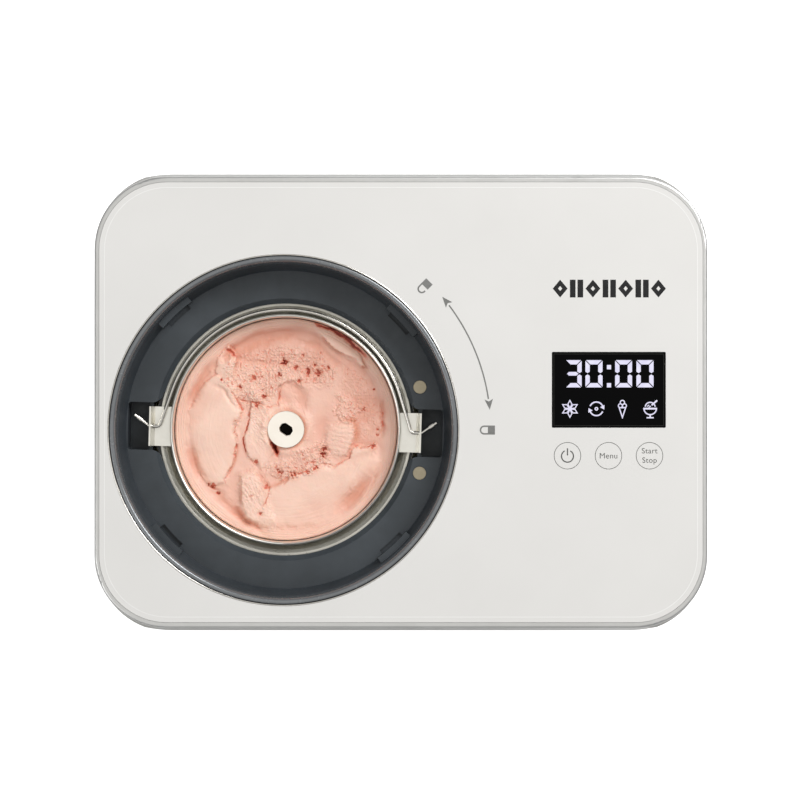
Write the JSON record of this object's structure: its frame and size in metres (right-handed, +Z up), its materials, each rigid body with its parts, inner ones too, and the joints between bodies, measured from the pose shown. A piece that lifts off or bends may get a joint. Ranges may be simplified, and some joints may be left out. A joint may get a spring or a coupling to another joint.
{
  "type": "ice cream maker",
  "caption": "Self-cooling ice cream maker: flat housing with glass control top, open cold well, lift-out steel bowl with wire handle, turning paddle and churned ice cream.",
  "frame": {"origin": "middle of the footprint at the feet's lowest face", "axes": "+X towards the control side, the longest side; +Y towards the back; +Z up"},
  "size_m": [0.38, 0.286, 0.2],
  "materials": {
    "silver_wall": "satin silver wrap with fine horizontal brushing",
    "silver_frame": "satin silver lacquer",
    "white_glass": "clear glass printed white on its back",
    "smoked_lens": "black glossy display window",
    "dark_chrome": "polished dark chrome ring",
    "slate_plastic": "dark slate moulded plastic, satin",
    "black_rubber": "matt black rubber",
    "screw_steel": "zinc plated steel",
    "nickel": "tarnished nickel plated brass",
    "black_plastic": "black moulded plastic",
    "well_aluminium": "satin aluminium",
    "copper": "drawn copper tube",
    "foam": "closed-cell insulation foam",
    "bowl_steel": "spun stainless steel, satin inside, bright rim",
    "wire_steel": "bright drawn stainless wire",
    "cream_plastic": "cream-white moulded plastic",
    "ice_cream": "salmon pink churned ice cream, soft sheen",
    "black_paint": "black enamel",
    "iron": "cast motor and pump block",
    "circuit_board": "green circuit board",
    "steel_sheet": "galvanised sheet"
  },
  "bodies": {
    "root": {"housing_shell": "silver_wall", "top_cover": "silver_frame", "top_panel": "white_glass", "display_lens": "smoked_lens", "trim_ring": "dark_chrome", "collar": "slate_plastic", "collar_seal": "black_rubber", "collar_screws": "screw_steel", "contact_holder_rear": "black_plastic", "contact_holder_front": "black_plastic", "contact_spring_rear": "screw_steel", "contact_spring_front": "screw_steel", "cooling_cup": "well_aluminium", "evaporator_coil": "copper", "foam_insulation": "foam", "foam_bucket": "black_plastic", "cup_sensor": "copper", "compressor_shell": "black_paint", "compressor_motor": "iron", "compressor_base": "black_paint", "compressor_grommets": "black_rubber", "compressor_bolts": "screw_steel", "compressor_cap": "black_plastic", "condenser_coil": "copper", "condenser_fins": "well_aluminium", "fan_frame": "black_plastic", "filter_drier": "copper", "discharge_line": "copper", "suction_line": "copper", "capillary_tube": "copper", "wiring_harness": "black_plastic", "control_board": "circuit_board", "display_module": "black_plastic", "touch_springs": "screw_steel", "board_screws": "screw_steel", "board_bracket": "steel_sheet", "power_board": "circuit_board", "power_transformer": "steel_sheet", "power_relay": "black_plastic", "power_capacitors": "black_plastic", "base_plate": "black_plastic", "foot_front_left": "black_rubber", "foot_front_right": "black_rubber", "foot_rear_left": "black_rubber", "foot_rear_right": "black_rubber", "foot_screws": "screw_steel", "base_screws": "screw_steel", "cord_gland": "black_plastic"},
    "contact_rear": {"contact_pin_rear": "nickel"},
    "contact_front": {"contact_pin_front": "nickel"},
    "bowl": {"bowl": "bowl_steel", "bowl_pivot_pin": "bowl_steel", "ear_left": "bowl_steel", "ear_right": "bowl_steel"},
    "handle": {"bail_handle": "wire_steel"},
    "paddle": {"paddle": "cream_plastic", "paddle_hub": "cream_plastic", "ice_cream": "ice_cream"},
    "fan": {"fan_rotor": "black_plastic"}
  },
  "joints": [
    {"name": "bowl_lift", "type": "slide", "parent": "root", "child": "bowl", "axis": [0, 0, 1], "range_m": [0, 0.13]},
    {"name": "handle_swing", "type": "hinge", "parent": "bowl", "child": "handle", "pos_m": [-0.0728, -0.0172, 0.1698], "axis": [0.9997, -0.0262, 0], "range_deg": [0, 180]},
    {"name": "paddle_spin", "type": "hinge", "parent": "bowl", "child": "paddle", "pos_m": [-0.0728, -0.0172, 0.1], "axis": [0, 0, 1], "continuous": true},
    {"name": "fan_spin", "type": "hinge", "parent": "root", "child": "fan", "pos_m": [0.1025, 0.0825, 0.072], "axis": [0, 1, 0], "continuous": true},
    {"name": "contact_press_rear", "type": "slide", "parent": "root", "child": "contact_rear", "axis": [0, 0, -1], "range_m": [0, 0.0015], "stiffness_N_per_m": 400, "springref_m": -0.002, "deforming": ["contact_spring_rear"]},
    {"name": "contact_press_front", "type": "slide", "parent": "root", "child": "contact_front", "axis": [0, 0, -1], "range_m": [0, 0.0015], "stiffness_N_per_m": 400, "springref_m": -0.002, "deforming": ["contact_spring_front"]}
  ]
}
